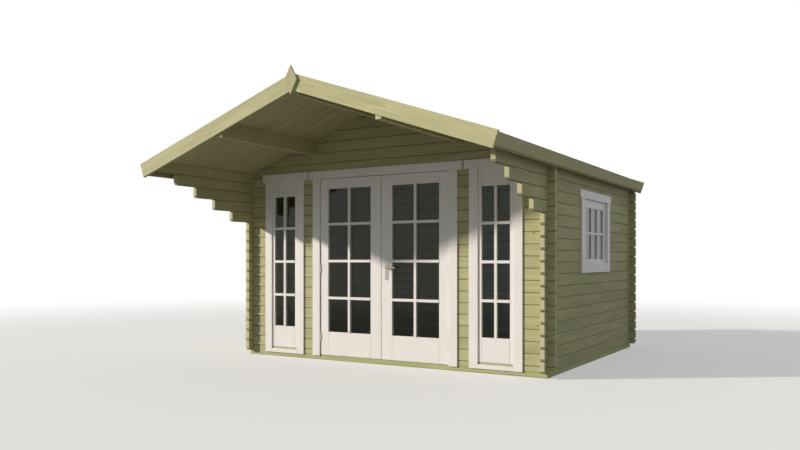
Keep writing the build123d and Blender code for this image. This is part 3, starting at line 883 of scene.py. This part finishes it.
# flat boards on the front, from the inner edge to the outer one; the head boards lie above them
# windowHead: its middle and half its length; doorHead: half its length
trimSet = {
    "face": -813, "back": -799, "foot": 40, "head": 1985, "headTop": 2073, "arris": 3, "segments": 3,
    "window": (183, 279), "windowFootTop": 83, "windowHead": (1293, 329), "door": (796.5, 895),
    "doorHead": 948,
}


def addTrim(x0, x1, z0, z1, material):
    return addBoard(
        (x0, trimSet["face"], z0), (x1, trimSet["back"], z1), material, trimSet["arris"],
        trimSet["segments"],
    )


foot, head, headTop = trimSet["foot"], trimSet["head"], trimSet["headTop"]
for side, word in ((-1, "left"), (1, "right")):
    centre = side * tallSet["centre"]
    half, sash, glassHalf = tallSet["half"], tallSet["sash"], tallSet["glassHalf"]
    reach = glassHalf + sash
    sashFoot = tallSet["bottom"] + tallSet["sill"]
    boards = addFrame(
        (centre - half, tallSet["face"], tallSet["bottom"]), (centre + half, tallSet["back"], tallSet["top"]),
        (half - reach, half - reach, tallSet["sill"], tallSet["top"] - tallSet["sashTop"]), arris=1.0,
    )
    boards += addFrame(
        (centre - reach, tallSet["sashFace"], sashFoot),
        (centre + reach, tallSet["sashBack"], tallSet["sashTop"]),
        (sash, sash, tallSet["glassBottom"] - sashFoot, tallSet["sashTop"] - tallSet["glassTop"]),
        arris=2.0, gap=1.8,
    )
    low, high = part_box(word + "_window_glass")
    for front, rear, laps in (
        (tallSet["barFace"], low.y / mm - tallSet["seat"], (3, 3, 30)),
        (high.y / mm + tallSet["seat"], tallSet["barBack"], (-1, -1, -1)),
    ):
        boards += addBars(
            (centre - glassHalf, front, tallSet["glassBottom"]),
            (centre + glassHalf, rear, tallSet["glassTop"]),
            [centre], tallSet["levels"], tallSet["barWidth"], tallSet["barWidth"], laps,
        )
    window = joinPieces(word + "_window_joinery", boards)
    finishPiece(window, "cabin", "white_paint", word + "_window_frame")
    inner, outer = trimSet["window"]
    middle, headHalf = trimSet["windowHead"]
    trims = [
        addTrim(centre - outer, centre - inner, foot, head, paintUpright),
        addTrim(centre + inner, centre + outer, foot, head, paintUpright),
        addTrim(centre - inner, centre + inner, foot, trimSet["windowFootTop"], paintAcross),
        addTrim(side * middle - headHalf, side * middle + headHalf, head, headTop, paintAcross),
    ]
    surround = joinPieces(word + "_window_trims", trims)
    finishPiece(surround, "cabin", "white_paint", word + "_window_surround")

doorTrims = []
for side in (-1, 1):
    x0, x1 = sorted(side * edge for edge in trimSet["door"])
    doorTrims.append(addTrim(x0, x1, foot, head, paintUpright))
finishPiece(joinPieces("door_trim_boards", doorTrims), "cabin", "white_paint", "door_side_trims")
doorHead = addTrim(-trimSet["doorHead"], trimSet["doorHead"], head, headTop, paintAcross)
finishPiece(joinPieces("door_head_trim", [doorHead]), "cabin", "white_paint", "door_head_board")
print("window joinery made")

# all from the front to the back, then from below to above; stiles and rails are near, far, foot and head
sideSet = {
    "frame": (220, 1142, 1010, 1781), "depth": (1776, 1820), "stiles": (60, 60, 50, 40),
    "sashDepth": (1780, 1817), "sash": (88, 88, 43, 94), "glass": (368, 994, 1103, 1647),
    "grids": ((1803.5, 1815), (1785, 1796.5)), "uprights": (575, 784), "level": 1380,
    "upWidth": 24, "levelWidth": 26, "trimDepth": (1820, 1840),
    "trims": (
        (169, 265, 959, 1736), (1097, 1193, 959, 1736), (265, 1097, 959, 1055), (127, 1235, 1736, 1824),
    ),
}
y0, y1, z0, z1 = sideSet["frame"]
near, far, below, above = sideSet["stiles"]
inside, outside = sideSet["depth"]
boards = addFrame((inside, y0, z0), (outside, y1, z1), sideSet["stiles"], axis=1)
inside, outside = sideSet["sashDepth"]
boards += addFrame(
    (inside, y0 + near, z0 + below), (outside, y1 - far, z1 - above), sideSet["sash"], arris=2.0, axis=1
)
y0, y1, z0, z1 = sideSet["glass"]
for inside, outside in sideSet["grids"]:
    boards += addBars(
        (inside, y0, z0), (outside, y1, z1), sideSet["uprights"], [sideSet["level"]], sideSet["upWidth"],
        sideSet["levelWidth"], (-1, -1, -1), axis=1,
    )
finishPiece(joinPieces("side_window_joinery", boards), "cabin", "white_paint", "side_window_frame")
trims = []
inside, outside = sideSet["trimDepth"]
for y0, y1, z0, z1 in sideSet["trims"]:
    material = paintUpright if z1 - z0 > y1 - y0 else paintDeep
    trims.append(addBoard(
        (inside, y0, z0), (outside, y1, z1), material, trimSet["arris"], trimSet["segments"]
    ))
finishPiece(joinPieces("side_window_trims", trims), "cabin", "white_paint", "side_window_surround")
print("side window made")

# Door handle: a lever bent from round bar on a long plate, inside and out
# sides: the way out, the leaf's face and the bar's middle
# collar and barrel: how far out, radius, depth and arris; web and slit: foot and head from the lock
handleSet = {
    "x": 68.5, "z": 1015, "reach": 193.5, "barRadius": 7.5, "bend": 12,
    "sides": ((-1, -801, -840), (1, -759, -718)), "collar": (5.5, 11, 5, 1),
    "plate": (48.5, 88.5, 885, 1073), "plateIn": 0.5, "plateThick": 3, "screwRadius": 3.4, "screwIn": 9,
    "lock": 943, "barrel": (2.5, 8.5, 5, 0.6), "webHalf": 5, "web": (-24, -4), "webDepths": (0, 4.6),
    "slitHalf": 0.8, "slit": (-5, 4), "slitDepths": (4, 5.2),
}
levers, plates = [], []
for out, face, bar in handleSet["sides"]:
    x, z = handleSet["x"] * mm, handleSet["z"] * mm
    bpy.ops.object.select_all(action="DESELECT")
    bpy.ops.mesh.primitive_circle_add(
        vertices=24, radius=handleSet["barRadius"] * mm, fill_type="NGON", rotation=(quarter, 0, 0),
        location=(x, (face + out) * mm, z),
    )
    lever = bpy.context.object
    bpy.ops.object.transform_apply()
    bend = handleSet["bend"] * mm
    straight = abs(bar - face) * mm - bend - 1 * mm
    bpy.ops.object.mode_set(mode="EDIT")
    bpy.ops.mesh.select_all(action="SELECT")
    bpy.ops.mesh.extrude_region_move(TRANSFORM_OT_translate={"value": (0, out * straight, 0)})
    bpy.ops.mesh.spin(
        steps=8, angle=out * quarter, center=(x + bend, bar * mm - out * bend, z), axis=(0, 0, 1)
    )
    run = handleSet["reach"] * mm - x - bend - 3 * mm
    # the last 3 mm round off in two steps
    for length, narrower in ((run, 1), (2 * mm, 0.86), (1 * mm, 0.7)):
        bpy.ops.mesh.extrude_region_move(TRANSFORM_OT_translate={"value": (length, 0, 0)})
        bpy.ops.transform.resize(value=(1, narrower, narrower))
    bpy.ops.mesh.select_all(action="SELECT")
    bpy.ops.mesh.remove_doubles(threshold=0.00001)
    bpy.ops.mesh.normals_make_consistent(inside=False)
    bpy.ops.object.mode_set(mode="OBJECT")
    lever.data.materials.append(steel)
    levers.append(lever)
    # collar at the foot of the neck, 3 to 8 mm off the door
    away, radius, depth, arris = handleSet["collar"]
    levers.append(addDisc((handleSet["x"], face + out * away, handleSet["z"]), radius, depth, arris, steel))

    x0, x1, z0, z1 = handleSet["plate"]
    depths = sorted((face - out * handleSet["plateIn"], face + out * handleSet["plateThick"]))
    plates.append(addBoard((x0, depths[0], z0), (x1, depths[1], z1), steel, 1.0))
    # the lock's round barrel with its web below, and the keyhole's slit, a thin dark sheet of painted shade
    middle, lock = handleSet["x"], handleSet["lock"]
    away, radius, depth, arris = handleSet["barrel"]
    plates.append(addDisc((middle, face + out * away, lock), radius, depth, arris, zinc))
    for half, ends, depths, material, arris, segments in (
        (handleSet["webHalf"], handleSet["web"], handleSet["webDepths"], zinc, 0.6, 2),
        (handleSet["slitHalf"], handleSet["slit"], handleSet["slitDepths"], keyholeShade, 0.2, 1),
    ):
        y0, y1 = sorted(face + out * depth for depth in depths)
        plates.append(addBoard(
            (middle - half, y0, lock + ends[0]), (middle + half, y1, lock + ends[1]), material, arris,
            segments,
        ))
    for level in (z0 + handleSet["screwIn"], z1 - handleSet["screwIn"]):
        place = (middle, face + out * handleSet["plateThick"], level)
        plates.append(addScrew(place, (0, out, 0), steel, handleSet["screwRadius"]))
finishPiece(joinPieces("lever_handle", levers), "lever", "steel", "door_lever")
finishPiece(joinPieces("handle_plate_pair", plates), "right_door", "steel", "handle_plates")

# Small pan-head pins that hold the glazing grids of the windows: beside each bar's end and below the glass
pinSet = {
    "tallBeside": 16, "tallBelow": 38, "tallRadius": 3.2, "sideBelow": 22, "sideIn": 8, "sideRadius": 3.6,
}
pins = []
for side in (-1, 1):
    centre = side * tallSet["centre"]
    beside = tallSet["glassHalf"] + pinSet["tallBeside"]
    places = [(centre + end * beside, level) for level in tallSet["levels"] for end in (-1, 1)]
    places.append((centre, tallSet["glassBottom"] - pinSet["tallBelow"]))
    for place, level in places:
        pins.append(addScrew((place, tallSet["sashFace"], level), (0, -1, 0), zinc, pinSet["tallRadius"]))
for back in (*sideSet["uprights"], sideSet["glass"][1] - pinSet["sideIn"]):
    place = (sideSet["sashDepth"][1], back, sideSet["glass"][2] - pinSet["sideBelow"])
    pins.append(addScrew(place, (1, 0, 0), zinc, pinSet["sideRadius"]))
finishPiece(joinPieces("grid_pins", pins), "cabin", "steel")
print("door handle and pins made")

# Floor and light: a pale studio floor, a soft key from the left front, even fill
# key is the sun lamp's strength, softness its angle in degrees, and fill the strength of the world's light
lightSet = {
    "way": (1.41, 1.0, -0.65), "key": 4.0, "keyColour": (1.0, 0.925, 0.84), "softness": 3, "fill": 0.39,
    "fillColour": (0.88, 0.95, 1.0, 1),
}
bpy.ops.mesh.primitive_plane_add(size=120, location=(0, 0, -1 * mm))
ground = bpy.context.object
ground.name = "studio_floor"
groundPaint, tree = newMaterial("studio_floor_paint")
place = addNode(tree, "TexCoord")
distance = addNode(tree, "VectorMath", {0: place.outputs["Object"]}, operation="LENGTH")
far = addNode(tree, "MapRange", {
    "Value": distance.outputs["Value"], "From Min": 5.0, "From Max": 15.0, "To Min": 0.35, "To Max": 1.0,
}, interpolation_type="SMOOTHSTEP")
seen = addNode(tree, "LightPath")
direct = addDirectRays(tree, seen)
bright = addNode(tree, "Math", {0: far.outputs[0], 1: direct.outputs[0]}, operation="MULTIPLY")
# pale to the eye, but it throws little light back up at the cabin
tone = addNode(tree, "Mix", {
    0: seen.outputs["Is Camera Ray"], 6: linearColour("#8F8E8B"), 7: linearColour("#E6E4E0"),
}, data_type="RGBA")
diffuse = addNode(tree, "BsdfDiffuse", {"Color": tone.outputs[2]})
glow = addNode(tree, "Emission", {"Color": (1, 1, 1, 1), "Strength": 1.0})
blended = addNode(tree, "MixShader", {0: bright.outputs[0], 1: diffuse.outputs[0], 2: glow.outputs[0]})
addNode(tree, "OutputMaterial", {"Surface": blended.outputs[0]})
ground.data.materials.append(groundPaint)

bpy.ops.object.light_add(type="SUN", location=(-6, -6, 5))
key = bpy.context.object
key.rotation_euler = Vector(lightSet["way"]).to_track_quat("-Z", "Y").to_euler()
key.data.energy = lightSet["key"]
key.data.angle = math.radians(lightSet["softness"])
key.data.color = lightSet["keyColour"]

world = bpy.data.worlds.new("studio")
bpy.context.scene.world = world
world.use_nodes = True
tree = world.node_tree
tree.nodes.clear()
direct = addDirectRays(tree, addNode(tree, "LightPath"))
level = addNode(tree, "MapRange", {"Value": direct.outputs[0], "To Min": lightSet["fill"], "To Max": 1.0})
# the fill is cooler than the key, as shade is outdoors
tint = addNode(tree, "Mix", {
    0: direct.outputs[0], 6: lightSet["fillColour"], 7: (1, 1, 1, 1),
}, data_type="RGBA")
sky = addNode(tree, "Background", {"Color": tint.outputs[2], "Strength": level.outputs[0]})
addNode(tree, "OutputWorld", {"Surface": sky.outputs[0]})
bpy.context.scene.view_settings.view_transform = "Standard"
print("stage lit")
